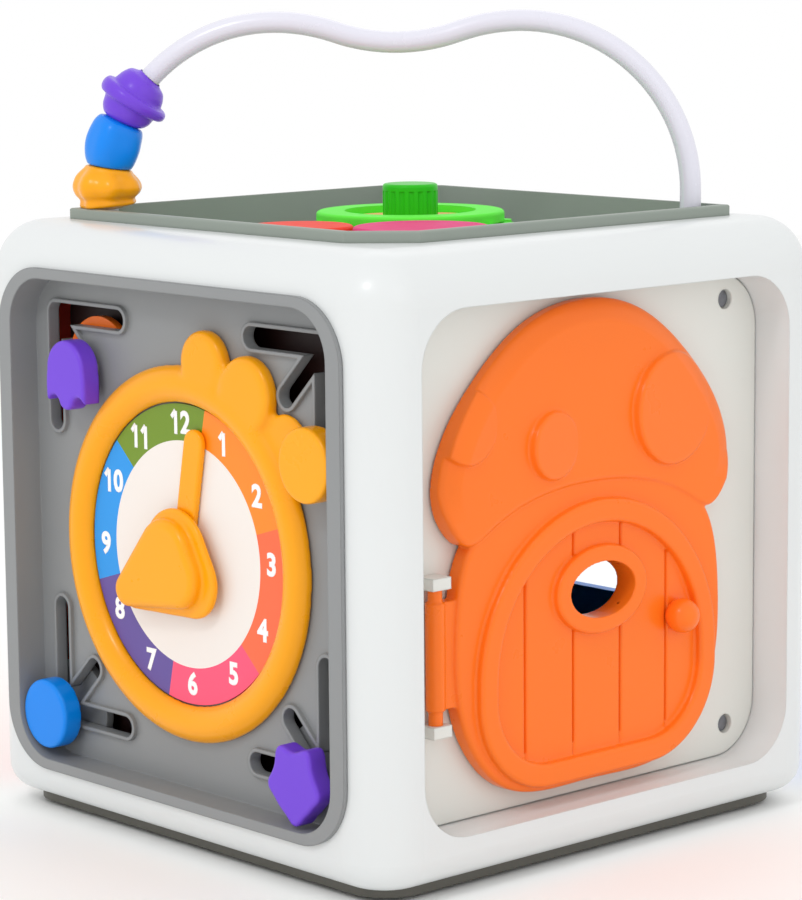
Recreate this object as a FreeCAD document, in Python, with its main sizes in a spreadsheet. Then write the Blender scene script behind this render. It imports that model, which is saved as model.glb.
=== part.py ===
import FreeCAD, Part
import Sketcher
import math
import os
import re
from FreeCAD import Placement, Rotation, Vector

# Baby activity cube: a white four-window shell with a clock tray at the front (-Y), a
# mushroom door at the right (+X), a gear tray and a carrying handle on top, a music panel
# at the left (-X) and a shape sorter at the back (+Y). Millimetres, +Z up, floor at z = 0.

doc = FreeCAD.newDocument("activity_cube")
sheet = doc.addObject("Spreadsheet::Sheet", "Sizes")

driving = {
    # body shell
    "body_half": 85, "body_low": 4, "body_top": 168.4, "wall": 2.6,
    "corner_radius": 15, "shoulder_radius": 14, "skirt_radius": 8,
    "window_half": 69.5, "window_rise": 70.4, "window_mid": 85.3, "window_corner": 15.5,
    # framed panels that fill the windows
    "rim_half": 72.7, "rim_rise": 71.3, "rim_corner": 17.5, "rim_front": 86.3, "rim_gap": 0.05,
    "plug_gap": 0.3, "plug_wall": 1.8,
    # clock tray
    "tray_floor": 77.1, "floor_wall": 2.5, "clock_height": 82,
    "ring_outer": 51.6, "ring_inner": 41.2, "ring_rise": 4.6, "lobe_orbit": 54, "lobe_rise": 4.3,
    "low_lobe_rise": 2.1,
    "dial_radius": 41, "dial_thick": 1, "spindle_radius": 4, "spindle_fit": 0.06,
    "cover_back": 67.2, "cover_thick": 1.2,
    # corner slots and their sliding knobs
    "slot_x": 57, "slot_low": 29.5, "slot_high": 143.3, "slot_half": 2.95, "slot_run": 28.4,
    "slot_climb": 30, "slot_diagonal": 20.2, "lip_wide": 1.05, "lip_rise": 1.2,
    "cap_back": 79.6, "cap_front": 85.4, "cap_radius": 9.9, "neck_radius": 2.2,
    "disc_radius": 14, "disc_back": 71.4, "disc_front": 73.8, "bear_shift": 7,
    # door side
    "recess_rise": 68.7, "recess_mid": 84.7, "recess_floor": 72.5, "panel_thick": 4,
    "collar_wall": 1.6, "flange_thick": 2.4, "doorway_half": 34, "doorway_low": 30,
    "doorway_top": 94, "door_back": 73.2, "door_front": 78.2, "cap_step": 0.8, "door_mid": -1.5,
    "hinge_y": -57, "hinge_x": 75.6, "barrel_radius": 2.6, "stub_radius": 1.9, "hinge_fit": 0.05,
    "barrel_low": 48.2, "barrel_high": 76.6, "ear_low": 44.4, "ear_high": 80.2, "ear_thick": 3.2,
    "ball_radius": 4.8, "ball_y": 30, "ball_z": 61.5,
    # gear tray
    "pan_half": 65.7, "pan_top": 171.4, "pan_floor": 160, "pan_wall": 2, "pan_chamfer": 14,
    "pan_flange": 69, "module_size": 4, "green_teeth": 14, "pink_teeth": 9, "red_teeth": 8,
    "lobe_radius": 2.8, "lobe_inset": 0.9, "tooth_low": 161, "tooth_high": 166.8,
    "cap_gap": 0.4, "axle_radius": 3, "axle_fit": 0.06,
    "green_x": 1.8, "green_y": 3, "pink_turn": -38.7, "red_turn": 214.5,
    # handle and beads
    "foot_reach": 82, "hump_reach": 34.5, "hump_height": 223, "dip_drop": 5.8,
    "tube_radius": 3, "tube_bore": 1.9, "bead_gap": 0.3,
    # base
    "base_half": 77.5, "base_low": 1.2, "base_corner": 12, "opening_half": 68,
    "cell_radius": 7.2, "cell_length": 50, "cell_pitch": 15.4, "box_wall": 1.6, "box_top": 21.6,
    # music panel
    "key_wide": 17, "key_tall": 44, "key_pitch": 20, "key_mid": 62, "key_front": 85,
    "music_floor": 81.5, "board_front": 70.6, "speaker_radius": 18, "speaker_height": 116,
    # sorter panel
    "square_low": 50.7, "square_side": 34, "square_x": -3,
}
for row, (word, number) in enumerate(driving.items(), 1):
    sheet.set(f"A{row}", word)
    sheet.set(f"B{row}", str(number))
    sheet.setAlias(f"B{row}", word)
doc.recompute()


def size(word):
    return float(sheet.get(word))


def rule(text):
    return re.sub(r"[a-z_]{3,}", lambda found: "Sizes." + found.group(), text)


# Each face has a flat frame: x to the right as it is looked at, y up, z outwards from the centre.
faces = {
    "top": Rotation(),
    "front": Rotation(Vector(1, 0, 0), 90),
    "right": Rotation(Vector(1, 1, 1), 120),
    "left": Rotation(FreeCAD.Matrix(0, 0, -1, 0, -1, 0, 0, 0, 0, 1, 0, 0, 0, 0, 0, 1)),
    "back": Rotation(FreeCAD.Matrix(-1, 0, 0, 0, 0, 0, 1, 0, 0, 1, 0, 0, 0, 0, 0, 1)),
    "handle": Rotation(Vector(0, 0, 1), 45),
}
parts = {}


def keep(item, label):
    """Name a finished sub-part; its label is its file's name."""
    item.Label = label
    parts[label] = item
    return item


def settle(item, face, x, y, z):
    turn = faces[face]
    item.Placement = Placement(turn.multVec(Vector(x, y, z)), turn)


def block(face, x, y, z, wide, tall, deep, corner=0):
    """A box about (x, y) that starts at depth z; its sizes are sheet rules."""
    box = doc.addObject("Part::Box", "block")
    box.setExpression("Length", rule(wide))
    box.setExpression("Width", rule(tall))
    box.setExpression("Height", rule(deep))
    doc.recompute([box])
    settle(box, face, x - box.Length.Value / 2, y - box.Width.Value / 2, z)
    if not corner:
        return box
    round_box = doc.addObject("Part::Fillet", "rounded")
    round_box.Base = box
    round_box.Edges = [(edge, corner, corner) for edge in (1, 3, 5, 7)]
    return round_box


def rod(face, x, y, z, radius, length):
    """A cylinder that points outwards from its face; its sizes are sheet rules."""
    bar = doc.addObject("Part::Cylinder", "rod")
    bar.setExpression("Radius", rule(radius))
    bar.setExpression("Height", rule(length))
    settle(bar, face, x, y, z)
    return bar


def join(*items):
    whole = doc.addObject("Part::MultiFuse", "join")
    whole.Shapes = list(items)
    whole.Refine = True
    return whole


def cut(base, *tools):
    for tool in tools:
        left = doc.addObject("Part::Cut", "cut")
        left.Base, left.Tool, left.Refine = base, tool, True
        base = left
    return base


def group(*items):
    """Alike fasteners stay separate solids in one sub-part."""
    bundle = doc.addObject("Part::Compound", "group")
    bundle.Links = list(items)
    return bundle


def free(face, shape):
    """A shape that no primitive or sketch fits, in its face's flat frame."""
    item = doc.addObject("Part::Feature", "shape")
    item.Shape = shape
    settle(item, face, 0, 0, 0)
    return item


def plate(outline, low, high):
    solid = Part.Face(outline) if isinstance(outline, Part.Wire) else outline
    solid = solid.copy()
    solid.translate(Vector(0, 0, low))
    return solid.extrude(Vector(0, 0, high - low))


def disc(x, y, radius):
    return Part.Wire(Part.makeCircle(radius, Vector(x, y, 0)))


def stadium(start, end, half):
    """A straight slot's outline between the centres of its two round ends."""
    a, b = Vector(*start, 0), Vector(*end, 0)
    along = (b - a).normalize() * half
    side = Vector(-along.y, along.x, 0)
    return Part.Wire([
        Part.makeLine(a - side, b - side), Part.Arc(b - side, b + along, b + side).toShape(),
        Part.makeLine(b + side, a + side), Part.Arc(a + side, a - along, a - side).toShape()])


def arcs(*points):
    """An outline of arcs: each one runs from a point through the next to the third."""
    stops = [Vector(x, y, 0) for x, y in points]
    pieces = [Part.Arc(*stops[i:i + 3]).toShape() for i in range(0, len(stops) - 2, 2)]
    return Part.Wire(pieces)


def polygon(*points):
    stops = [Vector(x, y, 0) for x, y in points]
    return Part.Wire(Part.makePolygon(stops + stops[:1]))


def soften(solid, radius, wanted):
    """Round the edges that a test picks."""
    edges = [edge for edge in solid.Edges if wanted(edge)]
    return solid.makeFillet(radius, edges)


def at_depth(depth):
    return lambda edge: all(abs(v.Z - depth) < 1e-4 for v in edge.Vertexes) and \
        abs(edge.CenterOfMass.z - depth) < 1e-4


def body(label, face):
    item = doc.addObject("PartDesign::Body", label)
    settle(item, face, 0, 0, 0)
    return item


def circle_pad(item, x, y, low, radius, length):
    """A round pad of a body, on a sketch offset from its own XY plane."""
    sketch = item.newObject("Sketcher::SketchObject", "round")
    base = next(f for f in item.Origin.OriginFeatures if f.Role == "XY_Plane")
    sketch.AttachmentSupport = (base, [""])
    sketch.MapMode = "FlatFace"
    sketch.setExpression("AttachmentOffset.Base.z", rule(low))
    sketch.addGeometry(Part.Circle(Vector(x, y, 0), Vector(0, 0, 1), 1))
    sketch.addConstraint(Sketcher.Constraint("DistanceX", -1, 1, 0, 3, x))
    sketch.addConstraint(Sketcher.Constraint("DistanceY", -1, 1, 0, 3, y))
    sketch.addConstraint(Sketcher.Constraint("Radius", 0, 1))
    sketch.setExpression("Constraints[2]", rule(radius))
    pad = item.newObject("PartDesign::Pad", "pad")
    pad.Profile = sketch
    pad.setExpression("Length", rule(length))
    doc.recompute()
    return pad


# ---------------------------------------------------------------- white shell

def shell_solid(half_text, low, high_text, radii):
    """A rounded cube: corner, shoulder and skirt radii in that order."""
    box = block("top", 0, 0, low, f"2 * ({half_text})", f"2 * ({half_text})", high_text)
    doc.recompute([box])
    corner, shoulder, skirt = radii
    edges = []
    for number, edge in enumerate(box.Shape.Edges, 1):
        upright = abs(edge.tangentAt(edge.FirstParameter).z) > 0.9
        radius = corner if upright else shoulder if edge.CenterOfMass.z > low + 10 else skirt
        edges.append((number, radius, radius))
    rounded = doc.addObject("Part::Fillet", "rounded_cube")
    rounded.Base, rounded.Edges = box, edges
    return rounded


def window(face, depth, length):
    return block(face, 0, size("window_mid"), depth, "2 * window_half", "2 * window_rise",
                 str(length), size("window_corner"))


def recess_slab(low, high, reach):
    """A slab across the door's recess, wider than its mouth by the reach."""
    return block("right", 0, size("recess_mid"), low, f"2 * (window_half + {reach})",
                 f"2 * (recess_rise + {reach})", str(high - low), size("window_corner") + reach)


def pan_outline(half, chamfer):
    """A square whose front-right and back-left corners are cut off."""
    c = half - chamfer
    return polygon((-half, -half), (c, -half), (half, -c), (half, half), (-c, half), (-half, c))


screw_spots = ((56.5, 146), (57.5, 25), (-62, 146), (-62, 25.6))
cover_posts = (20.5, 149.5)
base_spots = [(x, y) for x in (-69, 69) for y in (-69, 69)]
pan_spots = ((62.5, -62.5), (-62.5, 62.5))


def body_shell():
    wall, low = size("wall"), size("body_low")
    corner, shoulder, skirt = size("corner_radius"), size("shoulder_radius"), size("skirt_radius")
    outer = shell_solid("body_half", low, "body_top - body_low", (corner, shoulder, skirt))
    inner = shell_solid("body_half - wall", low + wall, "body_top - body_low - 2 * wall",
                        (corner - wall, shoulder - wall, skirt - wall))
    hollow = cut(outer, inner)
    floor, back = size("recess_floor"), size("recess_floor") - size("panel_thick")
    flange_back = back - size("flange_thick")
    collar = cut(recess_slab(flange_back, size("body_half") - 1.5, size("collar_wall")),
                 recess_slab(back, size("body_half") + 1, 0),
                 recess_slab(flange_back - 1, back + 1, -12))
    posts = [rod("right", x, y, flange_back - 6, "2.6", "6 + flange_thick") for x, y in screw_spots]
    posts += [rod("top", x, y, low + wall - 1, "4", "8") for x, y in base_spots]
    drills = [rod("right", x, y, flange_back - 7, "1.2", "12") for x, y in screw_spots]
    drills += [rod("top", x, y, low - 1, "1.4", "10.6") for x, y in base_spots]
    drills += [rod("top", x, y, size("body_top") - 4, "1.2", "3.4") for x, y in pan_spots]
    mouth = free("top", plate(pan_outline(size("pan_half") + 0.3, size("pan_chamfer")), 150, 180))
    hatch = block("top", 0, 0, low - 1, "2 * opening_half", "2 * opening_half", "10", 10)
    door_window = recess_slab(floor, 100, 0)
    shell = cut(join(hollow, collar, *posts), door_window, window("front", 60, 40),
                window("left", 60, 40), window("back", 60, 40), mouth, hatch, *drills)
    return keep(shell, "body_shell")


# ---------------------------------------------------------------- clock tray

def framed_panel(face, depth_floor, depth_back):
    """A framed tray that plugs a window: a proud rim, thin walls and a floor."""
    mid, gap = size("window_mid"), size("plug_gap")
    top = size("rim_front")
    rim = block(face, 0, mid, size("body_half") + size("rim_gap"), "2 * rim_half",
                "2 * rim_rise", "rim_front - body_half - rim_gap", size("rim_corner"))
    plug = block(face, 0, mid, depth_back, "2 * (window_half - plug_gap)",
                 "2 * (window_rise - plug_gap)", str(top - depth_back), size("window_corner") - gap)
    inset = gap + size("plug_wall")
    hollow = block(face, 0, mid, depth_floor, f"2 * (window_half - {inset})",
                   f"2 * (window_rise - {inset})", "20", size("window_corner") - inset)
    hooks = []
    reach, rise = size("window_half") - gap, size("window_rise") - gap
    for x, y, wide, tall in ((reach, 0, 3, 12), (-reach, 0, 3, 12), (0, rise - 0.5, 12, 3), (0, -rise, 12, 3)):
        hooks.append(block(face, x, mid + y, size("body_half") - size("wall") - 2,
                           str(wide), str(tall), "1.8"))
    return cut(join(rim, plug, *hooks), hollow)


def slot_branches(x_side, y_side):
    """The three arms of one corner slot, from its corner outwards."""
    x, y = x_side * size("slot_x"), size("slot_high") if y_side > 0 else size("slot_low")
    slant = size("slot_diagonal") / math.sqrt(2)
    return (x, y), ((x - x_side * size("slot_run"), y), (x, y - y_side * size("slot_climb")),
                    (x - x_side * slant, y - y_side * slant))


def slot_solid(half, low, high):
    solids = []
    for x_side in (-1, 1):
        for y_side in (-1, 1):
            corner, ends = slot_branches(x_side, y_side)
            arms = [plate(stadium(corner, end, half), low, high) for end in ends]
            solids.append(arms[0].multiFuse(arms[1:]).removeSplitter())
    return Part.makeCompound(solids)


def clock_tray():
    floor, back = size("tray_floor"), size("tray_floor") - size("floor_wall")
    lip_half, lip_top = size("slot_half") + size("lip_wide"), floor + size("lip_rise")
    lips = free("front", slot_solid(lip_half, floor - 0.5, lip_top))
    slots = free("front", slot_solid(size("slot_half"), back - 1, floor + 5))
    shaft = rod("front", 0, size("clock_height"), back - 1, "spindle_radius", "5")
    rear = size("cover_back") + size("cover_thick")
    posts = [rod("front", 0, y, rear, "3.2", str(back + 1 - rear)) for y in cover_posts]
    drills = [rod("front", 0, y, rear - 1, "1.2", "6.4") for y in cover_posts]
    tray = join(framed_panel("front", floor, back), lips, *posts)
    return keep(cut(tray, slots, shaft, *drills), "clock_tray")


def clock_cover():
    """A dark plate behind the sliding knobs' discs, screwed to two posts of the tray."""
    depth = size("cover_back")
    plain = block("front", 0, size("window_mid"), depth, "126", "130", "cover_thick", 8)
    holes = [rod("front", 0, y, depth - 1, "1.4", "4") for y in cover_posts]
    screws = [join(rod("front", 0, y, depth - 1.5, "2.6", "1.5"), rod("front", 0, y, depth, "1.2", "6"))
              for y in cover_posts]
    keep(cut(plain, *holes), "clock_cover")
    keep(group(*screws), "clock_cover_screws")


def clock_bezel():
    """The yellow ring with three comb lobes at its upper right."""
    floor, inner, outer, rise = (size(w) for w in ("tray_floor", "ring_inner", "ring_outer", "ring_rise"))
    mid, half, y = (inner + outer) / 2, (outer - inner) / 2, size("clock_height")
    section = Part.Wire([
        Part.makeLine(Vector(inner, 0, floor), Vector(outer, 0, floor)),
        Part.makeLine(Vector(outer, 0, floor), Vector(outer, 0, floor + 1.2)),
        Part.Arc(Vector(outer, 0, floor + 1.2), Vector(mid, 0, floor + rise),
                 Vector(inner, 0, floor + 1.2)).toShape(),
        Part.makeLine(Vector(inner, 0, floor + 1.2), Vector(inner, 0, floor))])
    ring = Part.Face(section).revolve(Vector(), Vector(0, 0, 1), 360)
    ring.translate(Vector(0, y, 0))
    lobes, high = [], size("lobe_rise")
    for turn, radius, rise in ((11.5, 9, high), (31.5, 10.5, high), (51.5, 9, size("low_lobe_rise"))):
        x = size("lobe_orbit") * math.sin(math.radians(turn))
        z = y + size("lobe_orbit") * math.cos(math.radians(turn))
        lobe = plate(disc(x, z, radius), floor, floor + rise)
        lobes.append(soften(lobe, 0.4 * rise, at_depth(floor + rise)))
    comb = lobes[0].multiFuse(lobes[1:]).cut(plate(disc(0, y, mid), floor - 1, floor + 9))
    return keep(free("front", ring.fuse(comb)), "clock_bezel")


def clock_dial():
    face = rod("front", 0, size("clock_height"), size("tray_floor"), "dial_radius", "dial_thick")
    hole = rod("front", 0, size("clock_height"), size("tray_floor") - 1, "spindle_radius + 0.1", "4")
    return keep(cut(face, hole), "clock_dial")


def clock_spindle():
    """A shouldered pin: its flange bears on the back of the tray's floor."""
    item = body("clock_spindle", "front")
    circle_pad(item, 0, size("clock_height"), "tray_floor - floor_wall - 2", "spindle_radius + 3", "2")
    circle_pad(item, 0, size("clock_height"), "tray_floor - floor_wall", "spindle_radius", "7.6")
    return keep(item, "clock_spindle")


def pair_hull(first, second):
    """The outline round two discs (x, y, radius) and their outer tangents."""
    (ax, ay, ar), (bx, by, br) = first, second
    turn = math.atan2(by - ay, bx - ax)
    lean = math.acos((ar - br) / math.hypot(bx - ax, by - ay))
    ends = []
    for x, y, radius, middle in ((ax, ay, ar, turn + math.pi), (bx, by, br, turn)):
        ends.append([Vector(x + radius * math.cos(a), y + radius * math.sin(a), 0)
                     for a in (turn + lean, turn - lean, middle)])
    (a, b, back), (c, d, nose) = ends
    return Part.Wire([Part.makeLine(b, d), Part.Arc(d, nose, c).toShape(),
                      Part.makeLine(c, a), Part.Arc(a, back, b).toShape()])


def disc_hull(discs, low, high):
    """One flat solid round three discs: their three pairs and the triangle between them."""
    pairs = ((0, 1), (1, 2), (2, 0))
    sides = [plate(pair_hull(discs[a], discs[b]), low, high) for a, b in pairs]
    middle = plate(polygon(*[(x, y) for x, y, _ in discs]), low, high)
    return middle.multiFuse(sides).removeSplitter()


def minute_hand():
    low, high, y = 78.4, 80.2, size("clock_height")
    hub, blade = plate(disc(0, y, 8), low, high), plate(stadium((0, y), (5.7, y + 30.9), 3.9), low, high)
    hand = hub.fuse(blade).removeSplitter()
    hand = soften(hand, 0.7, at_depth(high))
    bore = plate(disc(0, y, size("spindle_radius") + size("spindle_fit")), low - 1, high + 1)
    return keep(free("front", hand.cut(bore)), "minute_hand")


def hour_hand():
    """A stepped, domed beak: a low skirt with a taller hump on it."""
    low, step, high, y = 80.5, 82.4, 86, size("clock_height")
    skirt = disc_hull(((-0.5, y, 13), (6.8, y - 6.4, 9.8), (-18.6, y - 11.6, 5.4)), low, step)
    skirt = soften(skirt, 0.9, at_depth(step))
    hump = disc_hull(((-1.6, y - 0.2, 10.6), (3.6, y - 5.2, 8.4), (-18.2, y - 11.2, 4.8)), step - 0.5, high)
    hump = soften(hump, 2.2, at_depth(high))
    bore = plate(disc(0, y, size("spindle_radius") + size("spindle_fit")), low - 1, 82.6)
    return keep(free("front", skirt.fuse(hump).cut(bore)), "hour_hand")


# ---------------------------------------------------------------- sliding knobs

def slider(label, x, y, outline):
    """A cap in front of the floor, with a neck that passes through the slot."""
    back, front = size("cap_back"), size("cap_front")
    cap = soften(plate(outline, back, front), 0.9, at_depth(front))
    neck = plate(disc(x, y, size("neck_radius")), size("disc_front"), back)
    core = plate(disc(x, y, 1.2), size("disc_front") - 1, back - 0.5)
    return keep(free("front", cap.fuse(neck).cut(core)), label)


def slider_holder(label, x, y):
    """The retaining disc behind the floor and the screw that holds it to the neck."""
    plain = rod("front", x, y, size("disc_back"), "disc_radius", "disc_front - disc_back")
    hole = rod("front", x, y, size("disc_back") - 1, "1.25", "6")
    keep(cut(plain, hole), label + "_retainer")
    head = rod("front", x, y, size("disc_back") - 1.6, "2.8", "1.6")
    shank = rod("front", x, y, size("disc_back"), "1.2", "6")
    keep(join(head, shank), label + "_screw")


def ghost_outline(x, y):
    """An arch with three scalloped feet."""
    w, foot = 8.3, 5.6
    points = [(x + w, y + 1), (x, y + 9.3), (x - w, y + 1)]
    points += [(x - w - 0.4, y - 4), (x - w, y - 8.5)]
    for step in range(3):
        left = x - w + step * foot
        lift = 2.2 if step % 2 == 0 else -1.6
        points += [(left + foot / 2, y - 8.5 + lift), (left + foot if step < 2 else x + w, y - 8.5)]
    points += [(x + w + 0.4, y - 4), (x + w, y + 1)]
    return arcs(*points)


def bear_outline(x, y):
    """A round body that swells into two ears, a paw at each side and its feet."""
    swells = ((60, 2.9), (122, 2.7), (186, 1.7), (272, 2.2), (352, 1.7))
    points = []
    for step in range(36):
        reach = 8.7 + sum(swell * math.exp(-(((10 * step - at + 180) % 360 - 180) / 17) ** 2)
                          for at, swell in swells)
        turn = math.radians(10 * step)
        points.append((x + reach * math.cos(turn), y + reach * math.sin(turn)))
    return smooth(*points)


def sliders():
    slant = size("slot_diagonal") / math.sqrt(2)
    x, low, high = size("slot_x"), size("slot_low"), size("slot_high")
    ghost = (slant - x, high - slant)
    slider("slider_ghost", *ghost, ghost_outline(ghost[0] - 1, ghost[1] - 1.2))
    yellow = (x, high - size("slot_climb"))
    slider("slider_yellow", *yellow, disc(*yellow, size("cap_radius")))
    blue = (-x, low)
    slider("slider_blue", *blue, disc(*blue, size("cap_radius")))
    bear = (x - size("bear_shift"), low)
    slider("slider_bear", *bear, bear_outline(bear[0] + 1.3, bear[1] - 0.8))
    for label, spot in (("slider_ghost", ghost), ("slider_yellow", yellow),
                        ("slider_blue", blue), ("slider_bear", bear)):
        slider_holder(label, *spot)


# ---------------------------------------------------------------- door side

def door_panel():
    floor, thick = size("recess_floor"), size("panel_thick")
    back = floor - thick
    slab = block("right", 0, size("recess_mid"), back, "2 * (window_half - plug_gap)",
                 "2 * (recess_rise - plug_gap)", "panel_thick", size("window_corner") - size("plug_gap"))
    low, top, half = size("doorway_low"), size("doorway_top"), size("doorway_half")
    doorway = block("right", 0, (low + top) / 2, back - 1, "2 * doorway_half",
                    str(top - low), "panel_thick + 2", half * 0.7)
    y, x = size("hinge_y"), size("hinge_x")
    ears = []
    for start in (size("ear_low") - size("ear_thick"), size("ear_high")):
        middle = start + size("ear_thick") / 2
        ears.append(block("right", y, middle, floor - 0.5, "6.4", "ear_thick", str(x + 3.3 - floor)))
    sockets = Part.makeCylinder(size("stub_radius") + size("hinge_fit"),
                                size("ear_high") - size("ear_low") + 5,
                                Vector(y, size("ear_low") - 2.5, x), Vector(0, 1, 0))
    wells = [rod("right", a, b, floor - 2.8, "2.75", "4") for a, b in screw_spots]
    holes = [rod("right", a, b, back - 1, "1.3", "6") for a, b in screw_spots]
    return keep(cut(join(slab, *ears), doorway, free("right", sockets), *wells, *holes), "door_panel")


def door_panel_screws():
    screws = []
    for x, y in screw_spots:
        head = rod("right", x, y, size("recess_floor") - 2.8, "2.4", "1.4")
        shank = rod("right", x, y, size("recess_floor") - size("panel_thick") - 6, "1.2", "7.2")
        screws.append(join(head, shank))
    return keep(group(*screws), "door_panel_screws")


def mirrored(points):
    """Half an outline, from its top down, and the same half turned over about the door's middle."""
    mid = size("door_mid")
    return points + [(2 * mid - x, y) for x, y in reversed(points[:-1])]


def smooth(*points):
    """A closed, flowing outline through some points."""
    curve = Part.BSplineCurve()
    curve.interpolate(Points=[Vector(x, y, 0) for x, y in points], PeriodicFlag=True)
    return Part.Wire(curve.toShape())


def cap_outline():
    mid = size("door_mid")
    half = [(mid, 151), (mid + 21.5, 146.2), (mid + 40, 132.2), (mid + 53.4, 112.5), (mid + 54.8, 103),
            (mid + 51.4, 94.5), (mid + 46, 90.2), (mid + 38, 93.2), (mid + 22, 99.6), (mid, 102)]
    return smooth(*mirrored(half)[:-1])


def stalk_outline():
    mid = size("door_mid")
    half = [(mid, 104), (mid + 24, 100), (mid + 43, 92), (mid + 50.4, 66), (mid + 47.5, 42),
            (mid + 34, 24.6), (mid, 20.5)]
    return smooth(*mirrored(half)[:-1])


def arch_outline(inset):
    """The round-topped plank door's outline, inset from its raised frame."""
    half, low, spring, corner = 45 - inset, 22 + inset, 52.4, 26 - inset
    bend = corner * (1 - math.sqrt(0.5))

    def spot(x, y):
        return Vector(x, y, 0)

    return Part.Wire([
        Part.makeLine(spot(half, low + corner), spot(half, spring)),
        Part.Arc(spot(half, spring), spot(0, spring + half), spot(-half, spring)).toShape(),
        Part.makeLine(spot(-half, spring), spot(-half, low + corner)),
        Part.Arc(spot(-half, low + corner), spot(bend - half, low + bend),
                 spot(corner - half, low)).toShape(),
        Part.makeLine(spot(corner - half, low), spot(half - corner, low)),
        Part.Arc(spot(half - corner, low), spot(half - bend, low + bend),
                 spot(half, low + corner)).toShape()])


def ellipse(x, y, long, short):
    return Part.Wire(Part.Ellipse(Vector(x, y, 0), long, short).toShape())


def mushroom_door():
    back, front = size("door_back"), size("door_front")
    high = front + size("cap_step")
    stalk = soften(plate(stalk_outline(), back, front), 1.4, at_depth(front))
    cap = soften(plate(cap_outline(), back, high), 1.4, at_depth(high))
    outside = plate(cap_outline(), back, high + 9)
    spots = [soften(plate(disc(x, y, radius), front - 1, high + 1.1), 0.8, at_depth(high + 1.1))
             for x, y, radius in ((-47.5, 121.5, 10), (-17, 113.5, 9.2), (28.5, 119, 15.5))]
    spots = [spot.common(outside) for spot in spots]
    frame = plate(arch_outline(0), back + 1, high + 1.6).cut(plate(arch_outline(6.4), back, high + 3))
    frame = soften(frame, 1.1, at_depth(high + 1.6))
    planks = plate(arch_outline(5), back, high)
    grooves = [Part.makeBox(0.8, 80, 2, Vector(x - 0.4, 20, front - 0.5)).common(planks)
               for x in (-27, -9, 9, 27)]
    pane = plate(ellipse(0.4, 72.8, 17.2, 12), back + 1, high + 1.4)
    pane = soften(pane, 0.9, at_depth(high + 1.4))
    y, x = size("hinge_y"), size("hinge_x")
    low, top = size("barrel_low"), size("barrel_high")
    barrel = Part.makeCylinder(size("barrel_radius"), top - low, Vector(y, low, x), Vector(0, 1, 0))
    stub = Part.makeCylinder(size("stub_radius"), size("ear_high") - size("ear_low") + 4,
                             Vector(y, size("ear_low") - 2, x), Vector(0, 1, 0))
    web = Part.makeBox(9, top - low, 3.6, Vector(y, low, back))
    slab = stalk.fuse(cap).cut(Part.makeCompound(grooves))
    for piece in (frame, pane, web, barrel, stub, *spots):
        slab = slab.fuse(piece)
    hole = plate(ellipse(0.4, 72.8, 12.3, 7.6), back - 2, high + 5)
    return keep(free("right", slab.cut(hole)), "mushroom_door")


def door_knob():
    x, y, radius = size("ball_y"), size("ball_z"), size("ball_radius")
    ball = Part.makeSphere(radius, Vector(x, y, size("rim_front") - radius))
    seat = Part.makeBox(20, 20, 20, Vector(x - 10, y - 10, size("door_front") - 20))
    return keep(free("right", ball.cut(seat)), "door_knob")


# ---------------------------------------------------------------- gear tray

def top_tray():
    half, floor, top, wall = (size(w) for w in ("pan_half", "pan_floor", "pan_top", "pan_wall"))
    chamfer = size("pan_chamfer")
    under = floor - wall
    pan = plate(pan_outline(half, chamfer), under, top)
    pan = soften(pan, 0.6, at_depth(top))
    roof = size("body_top") - size("wall")
    flange = Part.makeBox(2 * size("pan_flange"), 2 * size("pan_flange"), 3,
                          Vector(-size("pan_flange"), -size("pan_flange"), roof - 3.2))
    flange = flange.makeFillet(6, [flange.Edges[i] for i in (0, 2, 4, 6)])
    pan = pan.fuse(flange).cut(plate(pan_outline(half - wall, chamfer - wall * 0.6), floor, top + 9))
    foot = size("foot_reach") / math.sqrt(2)
    tube = size("tube_radius") + 0.05
    tools = []
    for side in (-1, 1):
        pan = pan.fuse(Part.makeCylinder(5.6, 4, Vector(side * foot, side * foot, floor - 1)))
        tools.append(Part.makeCylinder(tube, 20, Vector(side * foot, side * foot, under - 5)))
    for x, y in gear_places().values():
        pan = pan.fuse(Part.makeCylinder(6, 0.7, Vector(x, y, floor)))
        tools.append(Part.makeCylinder(size("axle_radius"), 6, Vector(x, y, under - 1)))
    for x, y in pan_spots:
        tools.append(Part.makeCylinder(1.3, 8, Vector(x, y, roof - 6)))
    solid = pan.cut(Part.makeCompound(tools)).removeSplitter()
    return keep(free("top", solid), "top_tray")


def top_tray_screws():
    low = size("body_top") - size("wall") - 3.2
    screws = [join(rod("top", x, y, low - 1.5, "2.4", "1.5"), rod("top", x, y, low, "1.2", "5"))
              for x, y in pan_spots]
    return keep(group(*screws), "top_tray_screws")


def pitch(teeth):
    return size("module_size") * size(teeth) / 2


def gear_places():
    """The three axles: pink meshes with green, and red meshes with pink."""
    green = (size("green_x"), size("green_y"))
    turn, reach = math.radians(size("pink_turn")), pitch("green_teeth") + pitch("pink_teeth")
    pink = (green[0] + reach * math.cos(turn), green[1] + reach * math.sin(turn))
    turn, reach = math.radians(size("red_turn")), pitch("pink_teeth") + pitch("red_teeth")
    red = (pink[0] + reach * math.cos(turn), pink[1] + reach * math.sin(turn))
    return {"green": green, "pink": pink, "red": red}


def gear_phases():
    """The angle of one tooth of each gear, so that every tooth meets a gap."""
    pink_pitch, red_pitch = 360 / size("pink_teeth"), 360 / size("red_teeth")
    green = size("pink_turn")
    pink = green + 180 + pink_pitch / 2
    lag = (size("red_turn") - pink) % pink_pitch
    red = size("red_turn") + 180 + lag * red_pitch / pink_pitch - red_pitch / 2
    return {"green": green, "pink": pink, "red": red}


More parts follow.
